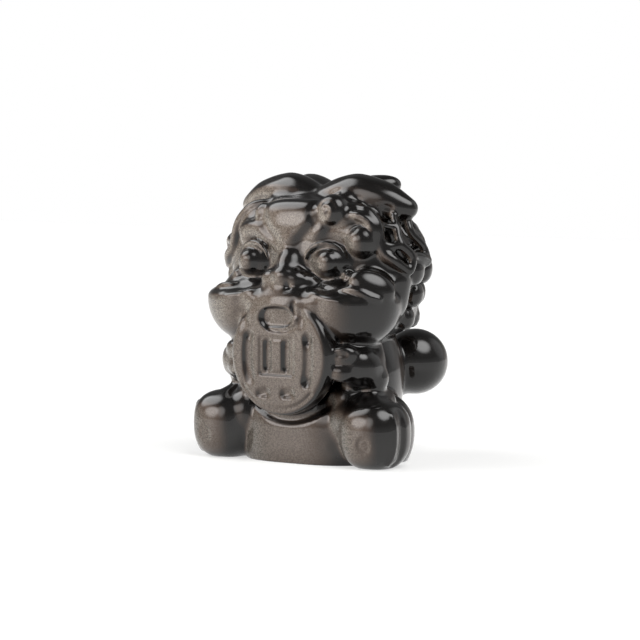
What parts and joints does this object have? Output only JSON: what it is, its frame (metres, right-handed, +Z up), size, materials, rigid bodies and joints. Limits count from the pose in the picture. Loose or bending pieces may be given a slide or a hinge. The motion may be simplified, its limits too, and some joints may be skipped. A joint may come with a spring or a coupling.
{
  "type": "pixiu figurine",
  "caption": "Small seated pixiu figurine carved from one piece of sheen obsidian, biting a round coin that its forepaws hold.",
  "frame": {"origin": "middle of the figurine's bounding box on the ground it sits on", "axes": "+Z up, the face and the soles towards -Y, the figure's own left towards +X"},
  "size_m": [0.0208, 0.0186, 0.0243],
  "materials": {
    "obsidian": "polished dark volcanic glass with a fine silvery brown sheen on what faces front"
  },
  "bodies": {
    "root": {"pixiu": "obsidian"}
  },
  "joints": []
}
